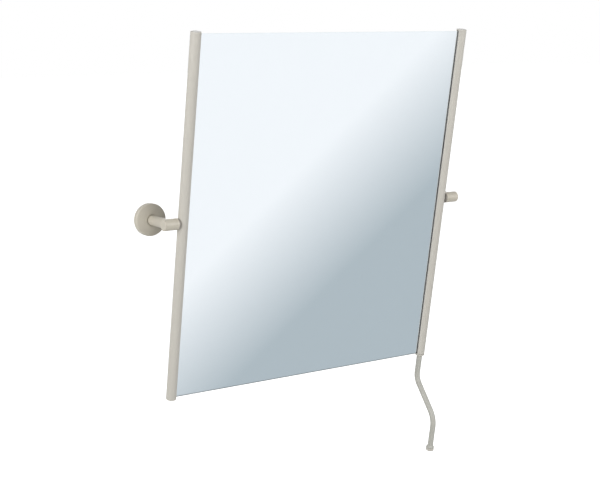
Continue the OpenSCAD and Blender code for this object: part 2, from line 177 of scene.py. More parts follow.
# A mesh object from points and faces, smooth except at edges sharper than the angle.
def meshPiece(name, points, faces, materials, edge=None, uv=None, sharp=35):
    mesh = bpy.data.meshes.new(name)
    mesh.from_pydata(np.asarray(points, float).reshape(-1, 3), [], [list(f) for f in faces])
    # The edge attribute marks rounded edges, where the coat's roughness drops and its painted highlight lies.
    if edge is not None:
        values = np.asarray(edge, np.float32).ravel()
        mesh.attributes.new("edge", "FLOAT", "POINT").data.foreach_set("value", values)
    if uv is not None:
        corner = np.empty(len(mesh.loops), np.int32)
        mesh.loops.foreach_get("vertex_index", corner)
        layer = mesh.uv_layers.new(name="surface")
        flat = np.asarray(uv, np.float32).reshape(-1, 2)[corner]
        layer.data.foreach_set("uv", flat.ravel())
    piece = bpy.data.objects.new(name, mesh)
    bpy.context.scene.collection.objects.link(piece)
    for material in materials:
        mesh.materials.append(material)
    turnOutward(mesh)
    mesh.shade_smooth()
    mesh.set_sharp_from_angle(angle=math.radians(sharp))
    piece.modifiers.new("evenShading", "WEIGHTED_NORMAL").keep_sharp = True
    return piece


# Points carried from their own frame into the model's.
def placed(points, place):
    turn = np.array(place)
    return np.asarray(points).reshape(-1, 3) @ turn[:3, :3].T + turn[:3, 3]


# A turned piece: profile radius times the cosine and sine of each angle, profile height along z.
def turned(name, profile, place, material, closed=True, around=144):
    outline, edge = profile
    angle = np.linspace(0, 2 * math.pi, around, endpoint=False)
    radius, height = outline[:, :1], outline[:, 1:]
    grid = np.stack([radius * np.cos(angle), radius * np.sin(angle), np.repeat(height, around, 1)], -1)
    faces = gridFaces(len(outline), around, closed, True)
    return meshPiece(name, placed(grid, place), faces, [material], np.repeat(edge, around))


# The piece moves with its body and stands for the nodes named. The slot is not used.
def dress(piece, body, slot, *nodes):
    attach(piece, body)
    if nodes:
        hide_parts(*nodes)


# A node with its settings made; each input takes a value or another node's output.
def addNode(tree, kind, inputs=None, **settings):
    node = tree.nodes.new(kind)
    for key, value in settings.items():
        setattr(node, key, value)
    for key, value in (inputs or {}).items():
        if isinstance(value, bpy.types.NodeSocket):
            tree.links.new(value, node.inputs[key])
        else:
            node.inputs[key].default_value = value
    return node


def maths(tree, operation, a, b=0.0):
    return addNode(tree, "ShaderNodeMath", {0: a, 1: b}, operation=operation).outputs[0]


def noise(tree, place, scale, detail=2.0):
    node = addNode(tree, "ShaderNodeTexNoise", {"Vector": place, "Scale": scale, "Detail": detail})
    return node.outputs["Fac"]


def scaled(tree, colour, factor):
    node = addNode(tree, "ShaderNodeVectorMath", {0: colour, "Scale": factor}, operation="SCALE")
    return node.outputs[0]


# 1 where the ray is of any of these kinds.
def rayShare(tree, *kinds):
    path = addNode(tree, "ShaderNodeLightPath").outputs
    share = path[kinds[0]]
    for kind in kinds[1:]:
        share = maths(tree, "MAXIMUM", share, path[kind])
    return share


socketKinds = {"colour": "NodeSocketColor", "value": "NodeSocketFloat"}


# An empty group with named sockets, and its two end nodes.
def startGroup(name, inputs, outputs):
    group = bpy.data.node_groups.new(name, "ShaderNodeTree")
    for label, value in inputs.items():
        kind = "colour" if isinstance(value, tuple) else "value"
        socket = group.interface.new_socket(name=label, in_out="INPUT", socket_type=socketKinds[kind])
        socket.default_value = value
    for label, kind in outputs.items():
        group.interface.new_socket(name=label, in_out="OUTPUT", socket_type=socketKinds[kind])
    return group, group.nodes.new("NodeGroupInput").outputs, group.nodes.new("NodeGroupOutput").inputs


surfaceOutputs = {"Colour": "colour", "Roughness": "value", "Height": "value"}


powderShape = {
    "fine": 3.7,  # frequencies of the fine noise and the grit, against the peel's
    "grit": 2.3,
    "clouds": 11.0,  # per metre
    "flecks": (0.66, 0.74),  # the grit's noise where flecks start and are whole
    "sheen": 0.16,  # how far the fine noise moves the roughness
    "fineHeight": 0.35,
}


# Powder coat: the height is a coarse and a fine noise, as in orange peel; the colour is scaled by
# 1 + cloud - specks + edge, a painted highlight on the rounded edges, where the coat also flows thin and the
# roughness drops.
def makePowderGroup(shape):
    group, given, out = startGroup("powderFinish", {
        "Colour": (0.6, 0.58, 0.53, 1), "Roughness": 0.42, "Peel Size": 1.6 * mm, "Cloud": 0.05,
        "Specks": 0.06, "Edge Gloss And Highlight": 0.04}, surfaceOutputs)
    link = group.links.new
    place = addNode(group, "ShaderNodeTexCoord").outputs["Object"]
    scale = maths(group, "DIVIDE", 1.0, given["Peel Size"])
    coarse = noise(group, place, scale)
    fine = noise(group, place, maths(group, "MULTIPLY", scale, shape["fine"]))
    grit = noise(group, place, maths(group, "MULTIPLY", scale, shape["grit"]), detail=0.0)
    cloud = noise(group, place, shape["clouds"], detail=3.0)
    flecks = addNode(group, "ShaderNodeMapRange", {
        "Value": grit, "From Min": shape["flecks"][0], "From Max": shape["flecks"][1]}).outputs[0]
    edge = addNode(group, "ShaderNodeAttribute", attribute_name="edge").outputs["Fac"]
    tone = maths(group, "MULTIPLY", maths(group, "SUBTRACT", cloud, 0.5), given["Cloud"])
    tone = maths(group, "ADD", tone, 1.0)
    tone = maths(group, "SUBTRACT", tone, maths(group, "MULTIPLY", flecks, given["Specks"]))
    # The edge term lightens the colour on rounded edges: a painted highlight.
    tone = maths(group, "ADD", tone, maths(group, "MULTIPLY", edge, given["Edge Gloss And Highlight"]))
    link(scaled(group, given["Colour"], tone), out["Colour"])
    sheen = maths(group, "MULTIPLY", maths(group, "SUBTRACT", fine, 0.5), shape["sheen"])
    # The same edge term lowers the roughness there, where the coat flows thin.
    sheen = maths(group, "SUBTRACT", sheen, maths(group, "MULTIPLY", edge, given["Edge Gloss And Highlight"]))
    link(maths(group, "ADD", given["Roughness"], sheen), out["Roughness"])
    link(maths(group, "ADD", coarse, maths(group, "MULTIPLY", fine, shape["fineHeight"])), out["Height"])
    return group


platedShape = {
    "small": 5.0,  # frequency of the small patches, against the large ones'
    "stretch": (40.0, 900.0, 40.0),  # of the lines
    "lines": 4.0,
    "dull": -0.6,  # how far the patches move the roughness
}


# Plated or turned metal: cloudy patches from two noises, and fine lines from a noise that is
# stretched along one axis.
def makePlatedGroup(shape):
    group, given, out = startGroup("platedFinish", {
        "Colour": (0.6, 0.6, 0.6, 1), "Roughness": 0.35, "Patch Size": 6 * mm, "Patches": 0.25,
        "Lines": 0.3}, surfaceOutputs)
    link = group.links.new
    place = addNode(group, "ShaderNodeTexCoord").outputs["Object"]
    scale = maths(group, "DIVIDE", 1.0, given["Patch Size"])
    patches = noise(group, place, scale, detail=3.0)
    small = noise(group, place, maths(group, "MULTIPLY", scale, shape["small"]))
    stretched = addNode(group, "ShaderNodeMapping", {"Vector": place, "Scale": shape["stretch"]})
    lines = noise(group, stretched.outputs[0], shape["lines"], detail=1.0)
    both = maths(group, "SUBTRACT", maths(group, "ADD", patches, small), 1.0)
    tone = maths(group, "ADD", maths(group, "MULTIPLY", both, given["Patches"]), 1.0)
    link(scaled(group, given["Colour"], tone), out["Colour"])
    uneven = maths(group, "MULTIPLY", both, maths(group, "MULTIPLY", given["Patches"], shape["dull"]))
    link(maths(group, "ADD", given["Roughness"], uneven), out["Roughness"])
    height = maths(group, "ADD", small, maths(group, "MULTIPLY", lines, given["Lines"]))
    link(height, out["Height"])
    return group


grainShape = {
    "broad": 14.0,  # per metre
    "uneven": 0.2,  # how far the grain moves the roughness
}


# Fine grain of rubber, nylon, glass, film and rolled paint: one noise for tone, roughness and
# height, and a broad one for tone alone.
def makeGrainGroup(shape):
    group, given, out = startGroup("fineGrain", {
        "Colour": (0.1, 0.1, 0.1, 1), "Roughness": 0.5, "Grain Size": 0.4 * mm, "Contrast": 0.2,
        "Broad": 0.05}, surfaceOutputs)
    link = group.links.new
    place = addNode(group, "ShaderNodeTexCoord").outputs["Object"]
    grain = noise(group, place, maths(group, "DIVIDE", 1.0, given["Grain Size"]))
    broad = noise(group, place, shape["broad"])
    tone = maths(group, "MULTIPLY", maths(group, "SUBTRACT", grain, 0.5), given["Contrast"])
    wide = maths(group, "MULTIPLY", maths(group, "SUBTRACT", broad, 0.5), given["Broad"])
    tone = maths(group, "ADD", maths(group, "ADD", tone, wide), 1.0)
    link(scaled(group, given["Colour"], tone), out["Colour"])
    uneven = maths(group, "MULTIPLY", maths(group, "SUBTRACT", grain, 0.5), shape["uneven"])
    link(maths(group, "ADD", given["Roughness"], uneven), out["Roughness"])
    link(grain, out["Height"])
    return group


# Scrim under film: sin(2 pi u) times sin(2 pi v), with u and v the piece's metres over the pitch.
def makeWeaveGroup():
    group, given, out = startGroup("scrimWeave", {"Pitch": 2.6 * mm}, {"Weave": "value"})
    place = addNode(group, "ShaderNodeUVMap", uv_map="surface").outputs["UV"]
    split = addNode(group, "ShaderNodeSeparateXYZ", {0: place}).outputs
    turns = maths(group, "DIVIDE", 2 * math.pi, given["Pitch"])
    across = maths(group, "SINE", maths(group, "MULTIPLY", split[0], turns))
    along = maths(group, "SINE", maths(group, "MULTIPLY", split[1], turns))
    group.links.new(maths(group, "MULTIPLY", across, along), out["Weave"])
    return group


groups = {
    "powder": makePowderGroup(powderShape),
    "plated": makePlatedGroup(platedShape),
    "grain": makeGrainGroup(grainShape),
    "weave": makeWeaveGroup(),
}
print("shader groups built:", len(groups))


# A material around one group: the group's outputs feed colour, roughness and bump, and what is
# the same all over is set on the shader itself, by the names of its sockets.
def makeMaterial(name, group, values, bump=0.0, plain=None):
    material = bpy.data.materials.new(name)
    material.use_nodes = True
    tree = material.node_tree
    surface = tree.nodes["Principled BSDF"]
    finish = addNode(tree, "ShaderNodeGroup", node_tree=groups[group])
    for key, value in values.items():
        finish.inputs[key].default_value = value
    tree.links.new(finish.outputs["Colour"], surface.inputs["Base Color"])
    plain = plain or {}
    if "Roughness" not in plain:
        tree.links.new(finish.outputs["Roughness"], surface.inputs["Roughness"])
    if bump:
        relief = addNode(tree, "ShaderNodeBump", {"Height": finish.outputs["Height"], "Distance": bump})
        tree.links.new(relief.outputs["Normal"], surface.inputs["Normal"])
    for key, value in plain.items():
        surface.inputs[key].default_value = value
    return material


coatColours = {
    "rail": (0.618, 0.590, 0.530, 1),
    "bracket": (0.606, 0.561, 0.470, 1),
    "rod": (0.538, 0.530, 0.478, 1),
}

railCoat = makeMaterial("railCoat", "powder", {
    "Colour": coatColours["rail"], "Roughness": 0.40}, 0.02 * mm)
bracketCoat = makeMaterial("bracketCoat", "powder", {
    "Colour": coatColours["bracket"], "Roughness": 0.40}, 0.02 * mm)
rodCoat = makeMaterial("rodCoat", "powder", {
    "Colour": coatColours["rod"], "Roughness": 0.45, "Peel Size": 1.2 * mm}, 0.02 * mm)
zincPlate = makeMaterial("zincPlate", "plated", {
    "Colour": (0.62, 0.63, 0.64, 1), "Roughness": 0.38}, 0.02 * mm, {"Metallic": 1.0})
boltSteel = makeMaterial("boltSteel", "plated", {
    "Colour": (0.60, 0.60, 0.60, 1), "Roughness": 0.28, "Patch Size": 2 * mm, "Lines": 0.8},
    0.01 * mm, {"Metallic": 1.0})
gasketRubber = makeMaterial("gasketRubber", "grain", {
    "Colour": (0.22, 0.22, 0.22, 1), "Roughness": 0.62}, 0.02 * mm)
washerNylon = makeMaterial("washerNylon", "grain", {
    "Colour": (0.350, 0.322, 0.291, 1), "Roughness": 0.5, "Grain Size": 0.7 * mm}, 0.01 * mm)
silverCoat = makeMaterial("silverCoat", "grain", {
    "Colour": (0.93, 0.94, 0.94, 1), "Grain Size": 3 * mm, "Contrast": 0.004, "Broad": 0.004},
    plain={"Metallic": 1.0, "Roughness": 0.0})
backPaint = makeMaterial("backPaint", "grain", {
    "Colour": (0.20, 0.19, 0.18, 1), "Roughness": 0.55, "Grain Size": 1.1 * mm}, 0.02 * mm)
clearGlass = makeMaterial("clearGlass", "grain", {
    "Colour": (0.985, 1.0, 0.992, 1), "Grain Size": 9 * mm, "Contrast": 0.003, "Broad": 0.003},
    plain={"Roughness": 0.0, "Transmission Weight": 1.0, "IOR": 1.52})
groundEdge = makeMaterial("groundEdge", "grain", {
    "Colour": (0.93, 0.985, 0.965, 1), "Roughness": 0.26, "Grain Size": 0.25 * mm, "Contrast": 0.06},
    0.01 * mm, {"Metallic": 0.9})

bounce = {"colour": (0.93, 0.96, 1.0, 1), "strength": 0.65}


# The silvering throws studio light on what stands beside it, which the renderer leaves out. In its
# place the pane glows, for diffuse rays alone.
def addBounce(material, light):
    tree = material.node_tree
    surface = tree.nodes["Principled BSDF"]
    surface.inputs["Emission Color"].default_value = light["colour"]
    given = maths(tree, "MULTIPLY", rayShare(tree, "Is Diffuse Ray"), light["strength"])
    tree.links.new(given, surface.inputs["Emission Strength"])


addBounce(clearGlass, bounce)

filmLook = {
    "weave": 0.14,  # how far the weave moves the tone
    "grain": 0.4,  # height of the film's grain, against the weave's
    "relief": 0.06 * mm,
}


# The film's tone and bump also carry the scrim that shows through it.
def makeFilmMaterial(look):
    material = makeMaterial("safetyFilm", "grain", {
        "Colour": (0.50, 0.52, 0.53, 1), "Roughness": 0.42, "Grain Size": 0.8 * mm, "Contrast": 0.06})
    tree = material.node_tree
    surface = tree.nodes["Principled BSDF"]
    finish = next(n for n in tree.nodes if n.type == "GROUP")
    weave = addNode(tree, "ShaderNodeGroup", node_tree=groups["weave"]).outputs["Weave"]
    tone = maths(tree, "ADD", maths(tree, "MULTIPLY", weave, look["weave"]), 1.0)
    tree.links.new(scaled(tree, finish.outputs["Colour"], tone), surface.inputs["Base Color"])
    grain = maths(tree, "MULTIPLY", finish.outputs["Height"], look["grain"])
    height = maths(tree, "ADD", weave, grain)
    relief = addNode(tree, "ShaderNodeBump", {"Height": height, "Distance": look["relief"]})
    tree.links.new(relief.outputs["Normal"], surface.inputs["Normal"])
    return material


filmSheet = makeFilmMaterial(filmLook)

# CAD nodes that stay are painted by their slot, and the collars as the brackets.
slotMaterials = {"paint": railCoat, "washer": washerNylon, "gasket": gasketRubber, "steel": boltSteel,
                 "plate": zincPlate, "film": filmSheet, "mirror": clearGlass}
nodeMaterials = {"left_collar": bracketCoat, "right_collar": bracketCoat}

for part in frame["record"]["subparts"]:
    mesh = frame["nodes"][part["node"]].data
    mesh.materials.clear()
    mesh.materials.append(nodeMaterials.get(part["node"], slotMaterials[part["material_slot"]]))
print("materials made")

glassSizes = {
    "arris": 0.4 * mm,  # flat ground round the edges
    "dub": 0.8 * mm,  # cut across the corners
    "silverInset": 0.05 * mm,  # clear glass left at the edge
    "silverDepth": 1.8 * mm,  # silvered backing sheet, behind the clear glass
    "overlap": 0.02 * mm,  # of silver and glass, so that no air lies between them
    "filmSpace": 0.001 * mm,  # between the paint and the film
}


# Loop round a rectangle with cut corners, drawn smaller by the inset.
def cutLoop(halfW, halfH, cut, inset):
    a, b, c = halfW - inset, halfH - inset, cut
    return np.array([[c - a, -b], [a - c, -b], [a, c - b], [a, b - c],
                     [a - c, b], [c - a, b], [-a, b - c], [-a, c - b]])


# A slab: the loops stand behind each other along y, and n-gons close its front and back. Faces
# that look along y times the sign, or both ways at sign 0, take the first material. Flat is the
# least cosine at which a face counts as one of them.
def slab(name, loops, depths, materials, sign=0, uv=False, flat=0.9):
    rings = np.concatenate([np.stack([loop[:, 0], np.full(len(loop), depth), loop[:, 1]], -1)
                            for loop, depth in zip(loops, depths)])
    count = len(loops[0])
    faces = [list(f) for f in gridFaces(len(loops), count, False, True)]
    faces += [list(range(count)), list(range(len(rings) - count, len(rings)))]
    spread = rings[:, [0, 2]] if uv else None
    piece = meshPiece(name, placed(rings, mirrorPlace), faces, materials, uv=spread, sharp=20)
    if len(materials) == 1:
        return piece
    normals = np.empty(len(piece.data.polygons) * 3, np.float32)
    piece.data.polygons.foreach_get("normal", normals)
    along = normals.reshape(-1, 3) @ np.array(mirrorPlace)[:3, 1]
    first = np.abs(along) > flat if sign == 0 else along * sign > flat
    piece.data.polygons.foreach_set("material_index", (~first).astype(np.int32))
    return piece


# Glass: a clear pane, whose loops step in by the arris at front and back, and behind it a slab that
# is silver in front and paint elsewhere.
def makeGlass(sizes):
    low, high = boxIn("mirror_glass", mirrorPlace)
    halfW, halfT, halfH = (high - low) / 2
    a, cut = sizes["arris"], sizes["dub"]
    front = halfT - sizes["silverDepth"]
    back = front + sizes["overlap"]
    wide, narrow = cutLoop(halfW, halfH, cut, 0), cutLoop(halfW, halfH, cut, a)
    pane = slab("mirrorPane", [narrow, wide, wide, narrow], [-halfT, a - halfT, back - a, back],
                [clearGlass, groundEdge])
    dress(pane, "mirror", "mirror", "mirror_glass")
    loop = cutLoop(halfW, halfH, cut, a + sizes["silverInset"])
    layer = slab("silveredBacking", [loop, loop], [front, halfT - sizes["filmSpace"]],
                 [silverCoat, backPaint], sign=-1)
    dress(layer, "mirror", "mirror", "mirror_glass")


makeGlass(glassSizes)

filmSizes = {"corner": 8 * mm, "steps": 10, "edge": 0.12 * mm}


# Loop round a rectangle whose corners are arcs, drawn smaller by the inset.
def roundLoop(halfW, halfH, radius, inset, steps):
    a, b = halfW - inset, halfH - inset
    corners = [(-a, -b, radius), (a, -b, radius), (a, b, radius), (-a, b, radius)]
    return rounded(corners, steps=steps)[0]


# Film: a slab with round corners, whose last loop steps in by the edge.
def makeFilm(sizes):
    low, high = boxIn("safety_film", mirrorPlace)
    halfW, halfH = (high - low)[0] / 2, (high - low)[2] / 2
    wide = roundLoop(halfW, halfH, sizes["corner"], 0, sizes["steps"])
    narrow = roundLoop(halfW, halfH, sizes["corner"], sizes["edge"], sizes["steps"])
    film = slab("backFilm", [wide, wide, narrow], [low[1], high[1] - sizes["edge"], high[1]],
                [filmSheet], uv=True)
    dress(film, "mirror", "film", "safety_film")


makeFilm(filmSizes)
print("glass, silver and film made")

capSizes = {
    "round": 1.0 * mm,
    "break": 0.25 * mm,  # edge at the joint with the tube
    "gap": 0.8 * mm,  # shadow gap over the handle's cap
    "gapDepth": 2.0 * mm,
    "gapBreak": 0.15 * mm,
    "longer": 1.4 * mm,  # the handle's cap, past its node's end
    "seatPlay": 0.05 * mm,
}

capNodes = {
    "capTopLeft": "cap_top_left",
    "capTopRight": "cap_top_right",
    "capBottomLeft": "cap_bottom_left",
    "capBottomRight": "cap_bottom_right",
}


# Caps: discs with a rounded rim on the ends of the tubes. The handle's cap is a ring round the rod,
# with a neck that leaves the shadow gap.
def makeCaps(sizes, nodes, rodRadius):
    tube = boxIn("left_rail", mirrorPlace)[1][2]
    for name, node in nodes.items():
        low, high = boxIn(node, mirrorPlace)
        radius, end = (high - low)[0] / 2, max(abs(low[2]), abs(high[2]))
        aroundRod = name == "capBottomRight"
        if aroundRod:
            seat, floor = rodRadius + sizes["seatPlay"], tube + sizes["gap"]
            neck, end = radius - sizes["gapDepth"], end + sizes["longer"]
            profile = rounded([
                (seat, tube), (neck, tube), (neck, floor), (radius, floor, sizes["gapBreak"]),
                (radius, end, sizes["round"]), (seat, end, sizes["break"])])
        else:
            profile = rounded([
                (0, tube), (radius, tube, sizes["break"]), (radius, end, sizes["round"]), (0, end)],
                closed=False)
        cap = turned(name, profile, railPlace(node), railCoat, closed=aroundRod)
        dress(cap, "mirror", "paint", node)


handleSizes = {
    "seat": 1.5 * mm,  # depth in the cap
    "drop": 56.5 * mm,  # to the upper bend's corner
    "crank": math.radians(48),
    "out": 73 * mm,  # how far the crank brings the rod forward
    "upperBend": 32 * mm,
    "lowerBend": 44 * mm,
    "tail": 62 * mm,  # below the lower bend's corner
    "steps": 28,  # along each bend
    "sides": 64,
}


# The handle's path, forward and down from the rail's end: straight, arc, straight, arc, straight.
# Each arc takes bend * tan(crank / 2) of the legs that it joins.
def handlePath(sizes):
    crank, steps = sizes["crank"], sizes["steps"]
    upper, lower = sizes["upperBend"], sizes["lowerBend"]
    takeUpper, takeLower = upper * math.tan(crank / 2), lower * math.tan(crank / 2)
    slope = sizes["out"] / math.sin(crank)
    first = np.array([0, sizes["drop"] - takeUpper])
    turn = np.linspace(0, crank, steps)
    upperArc = first + upper * np.stack([1 - np.cos(turn), np.sin(turn)], -1)
    leg = slope - takeUpper - takeLower
    second = upperArc[-1] + leg * np.array([math.sin(crank), math.cos(crank)])
    back = crank - turn
    lowerArc = second + lower * np.stack([np.cos(back) - math.cos(crank),
                                          math.sin(crank) - np.sin(back)], -1)
    end = [sizes["out"], sizes["drop"] + slope * math.cos(crank) + sizes["tail"]]
    path = np.concatenate([[[0, -sizes["seat"]]], upperArc, lowerArc, [end]])
    heading = np.concatenate([[0], turn, back, [0]])
    return path, heading


# A round bar: each path point plus the radius times cosine along x and sine across the heading.
def makeRod(sizes):
    capLow, capHigh = boxIn("cap_bottom_right", mirrorPlace)
    rodLow, rodHigh = boxIn("handle_rod", mirrorPlace)
    radius = (rodHigh - rodLow)[0] / 2
    middle = (capLow + capHigh) / 2
    path, heading = handlePath(sizes)
    angle = np.linspace(0, 2 * math.pi, sizes["sides"], endpoint=False)
    shrink = np.concatenate([[0], np.ones(len(path)), [0]])[:, None] * radius
    path = np.concatenate([path[:1], path, path[-1:]])
    heading = np.concatenate([heading[:1], heading, heading[-1:]])[:, None]
    across, lift = shrink * np.cos(angle), shrink * np.sin(angle)
    grid = np.stack([middle[0] + across, middle[1] - path[:, :1] - lift * np.cos(heading),
                     capLow[2] - path[:, 1:] + lift * np.sin(heading)], -1)
    faces = gridFaces(len(path), len(angle), False, True)
    rod = meshPiece("handleRod", placed(grid, mirrorPlace), faces, [rodCoat])
    dress(rod, "mirror", "paint", "handle_rod")
    return radius


footSizes = {
    "flare": 4.5 * mm,
    "pad": 6 * mm,  # height of the pad under the groove
    "groove": 0.8 * mm,
    "grooveDepth": 0.8 * mm,
    "round": 2 * mm,
    "break": 0.2 * mm,
    "flareSteps": 14,
    "roundSteps": 8,
}


# Foot: the flare's radius follows half a cosine wave from the rod's radius to the foot's. It is
# painted as the rod, and the pad under the groove as the rails.
def makeFoot(sizes, rodRadius):
    low, high = boxIn("handle_foot", mirrorPlace)
    middle, radius, tall = (low + high) / 2, (high - low)[0] / 2, (high - low)[2]
    t = np.linspace(0, 1, sizes["flareSteps"])
    swell = (1 - np.cos(math.pi * t)) / 2
    flare = np.stack([rodRadius + (radius - rodRadius) * swell, sizes["flare"] * t], -1)
    top = tall - sizes["pad"]
    neck = radius - sizes["grooveDepth"]
    corners = [
        (radius, top - sizes["groove"], sizes["break"]), (neck, top - sizes["groove"]), (neck, top),
        (radius, top, sizes["break"]), (radius, tall, sizes["round"]), (0, tall)]
    start = [(0, 0)] + [tuple(p) for p in flare]
    profile = rounded(start + corners, closed=False, steps=sizes["roundSteps"])
    place = mirrorPlace @ axisPlace((middle[0], middle[1], high[2]), (0, 0, -1), (0, -1, 0))
    foot = turned("handleFoot", profile, place, rodCoat, closed=False)
    foot.data.materials.append(railCoat)
    centres = np.empty(len(foot.data.polygons) * 3, np.float32)
    foot.data.polygons.foreach_get("center", centres)
    height = placed(centres, place.inverted())[:, 2]
    foot.data.polygons.foreach_set("material_index", (height > top).astype(np.int32))
    dress(foot, "mirror", "paint", "handle_foot")


rodRadius = makeRod(handleSizes)
makeCaps(capSizes, capNodes, rodRadius)
makeFoot(footSizes, rodRadius)
print("caps and handle made")

stackSizes = {
    "groove": 0.45 * mm,  # depth and width of the joint line between ring and stub
    "break": 0.15 * mm,
    "lidRound": 0.8 * mm,
    "lidBreak": 0.12 * mm,  # at the joint between stub and lid
    "bore": 4.05 * mm,
    "neck": 8.35 * mm,  # bush inside the stub
    "stubBore": 8.4 * mm,
    "skirt": 1.2 * mm,  # wall of the lid's skirt
    "washerBore": 4.1 * mm,
    "washerBreak": 0.15 * mm,
}


# Lowest and highest distance of a node from the middle along x.
def reachOf(node):
    low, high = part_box(node)
    return sorted((abs(low[0]), abs(high[0])))


# Pieces turned about the pivot's line: bush with its visible ring, stub, lid with a skirt inside
# the stub, and the washer between bush and rail. Each profile is distance from the line and along it.
def makeStack(name, side, sizes):
    place = stubPlace(side)
    low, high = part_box(name + "_stub")
    radius = (high[2] - low[2]) / 2
    ring, bushEnd = reachOf(name + "_bush")
    joint, lid = reachOf(name + "_stub")
    skirtEnd, end = reachOf(name + "_stub_cap")
    soft, groove = sizes["break"], sizes["groove"]
    bush = turned(name + "Bush", rounded([
        (sizes["bore"], ring), (radius, ring, soft), (radius, joint - groove, soft),
        (radius - groove, joint - groove), (radius - groove, joint), (sizes["neck"], joint),
        (sizes["neck"], bushEnd), (sizes["bore"], bushEnd)]), place, bracketCoat)
    stub = turned(name + "Stub", rounded([
        (sizes["stubBore"], joint), (radius, joint, soft), (radius, lid, sizes["lidBreak"]),
        (sizes["stubBore"], lid)]), place, bracketCoat)
    inner = sizes["neck"] - sizes["skirt"]
    cap = turned(name + "StubLid", rounded([
        (0, lid), (inner, lid), (inner, skirtEnd), (sizes["neck"], skirtEnd), (sizes["neck"], lid),
        (radius, lid, sizes["lidBreak"]), (radius, end, sizes["lidRound"]), (0, end)], closed=False),
        place, bracketCoat, closed=False)
    for piece, node in ((bush, "_bush"), (stub, "_stub"), (cap, "_stub_cap")):
        dress(piece, "brackets", "paint", name + node)
    low, high = boxIn(name + "_friction_washer", mirrorPlace)
    inside, outside = sorted((abs(low[0]), abs(high[0])))
    rim, soft = (high - low)[2] / 2, sizes["washerBreak"]
    washer = turned(name + "Washer", rounded([
        (sizes["washerBore"], inside), (rim, inside, soft), (rim, outside, soft),
        (sizes["washerBore"], outside)]), place, washerNylon)
    dress(washer, "mirror", "washer", name + "_friction_washer")
    return radius


postSizes = {
    "fillet": 0.9 * mm,  # coated weld between post and stub
    "groove": 0.5 * mm,  # depth and width of the joint line against the collar
    "break": 0.15 * mm,
    "bore": 6.5 * mm,
    "sunk": 0.15 * mm,  # of the hidden end, under the stub's surface
    "steps": 8,  # across the fillet
    "sides": 144,
}


# Post: at each angle the stub's surface stands at gap - sqrt(stub^2 - (radius sin angle)^2). The
# wall runs up to it, and a quadratic curve through the corner leads out onto the stub.
def makePost(name, sizes, stubRadius):
    low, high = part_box(name + "_post")
    radius = (high[0] - low[0]) / 2
    base, gap = -high[1], -pivot[1]
    angle = np.linspace(0, 2 * math.pi, sizes["sides"], endpoint=False)

    def surface(r):
        return gap - np.sqrt(stubRadius ** 2 - (r * np.sin(angle)) ** 2)

    fillet, soft, bore = sizes["fillet"], sizes["break"], sizes["bore"]
    groove = sizes["groove"]
    corner = surface(radius)
    t = np.linspace(0, 1, sizes["steps"] + 1)[:, None]
    curveR = (1 - t) ** 2 * radius + 2 * t * (1 - t) * radius + t ** 2 * (radius + fillet)
    foot = surface(radius + fillet)
    curveH = (1 - t) ** 2 * (corner - fillet) + 2 * t * (1 - t) * corner + t ** 2 * foot
    level = np.ones_like(angle)
    shoulder = base + groove
    rows = [(bore, base * level), (radius - groove, base * level), (radius - groove, shoulder * level),
            (radius - soft, shoulder * level), (radius, (shoulder + soft) * level)]
    rows += list(zip(np.repeat(curveR, len(angle), 1), curveH))
    rows += [(radius + fillet, foot + sizes["sunk"]), (bore, surface(bore) + sizes["sunk"])]
    r = np.stack([np.broadcast_to(row[0], angle.shape) for row in rows])
    h = np.stack([row[1] for row in rows])
    grid = np.stack([r * np.cos(angle), r * np.sin(angle), h], -1)
    faces = gridFaces(len(rows), len(angle), True, True)
    post = meshPiece(name + "Post", placed(grid, wallPlace(name)), faces, [bracketCoat], sharp=50)
    dress(post, "brackets", "paint", name + "_post")


rosetteSizes = {
    "rim": 10.5 * mm,
    "round": 3 * mm,
    "wall": 1.5 * mm,
    "hole": 7.9 * mm,
    "land": 11.9 * mm,  # radius where the dome starts
    "recess": (9.1 * mm, 11.3 * mm, 1.8 * mm),  # shadow gap round the collar: radii and depth
    "boss": 1 * mm,  # thickness under the shadow gap
    "foot": 0.4 * mm,  # rounding against the wall
    "domeSteps": 40,
    "roundSteps": 14,
    "footSteps": 4,
    "sides": 192,
}


# Rosette: a spherical dome through land and rim. Its centre's height comes from equal distances
# to both, and the rim's rounding touches dome and side from inside.
def makeRosette(name, sizes):
    low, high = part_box(name + "_rosette")
    radius, crown = (high[0] - low[0]) / 2, high[1] - low[1]
    rim, land, wall, soft = sizes["rim"], sizes["land"], sizes["wall"], sizes["round"]
    centre = (radius ** 2 + rim ** 2 - land ** 2 - crown ** 2) / (2 * (rim - crown))
    dome = math.hypot(radius, rim - centre)
    softX = radius - soft
    softY = centre + math.sqrt((dome - soft) ** 2 - softX ** 2)
    touch = math.atan2(softY - centre, softX)
    steps, roundSteps = sizes["domeSteps"], sizes["roundSteps"]
    outer = arcPoints(0, centre, dome, math.acos(land / dome), touch, steps)
    side = arcPoints(softX, softY, soft, touch, 0, roundSteps)
    foot = rounded([(radius, softY), (radius, 0, sizes["foot"]), (radius - wall, 0)],
                   closed=False, steps=sizes["footSteps"])[0][1:]
    start, end, deep = sizes["recess"]
    boss = end + sizes["boss"]
    inner = arcPoints(0, centre, dome - wall, math.acos((radius - wall) / (dome - wall)),
                      math.acos(boss / (dome - wall)), steps)
    floor = crown - deep
    under = floor - sizes["boss"]
    lip = [[sizes["hole"], crown], [start, crown], [start, floor], [end, floor], [end, crown]]
    outline = np.concatenate([lip, outer, side, foot, inner, [[boss, under], [sizes["hole"], under]]])
    # Edge is 1 on the rim's rounding alone, where the coat takes its painted edge highlight.
    edge = np.zeros(len(outline))
    edge[len(lip) + steps:len(lip) + steps + roundSteps] = 1
    rosette = turned(name + "Rosette", (outline, edge), wallPlace(name), bracketCoat,
                     around=sizes["sides"])
    dress(rosette, "brackets", "paint", name + "_rosette")


for name, side in sides.items():
    stubRadius = makeStack(name, side, stackSizes)
    makePost(name, postSizes, stubRadius)
    makeRosette(name, rosetteSizes)
print("brackets made")

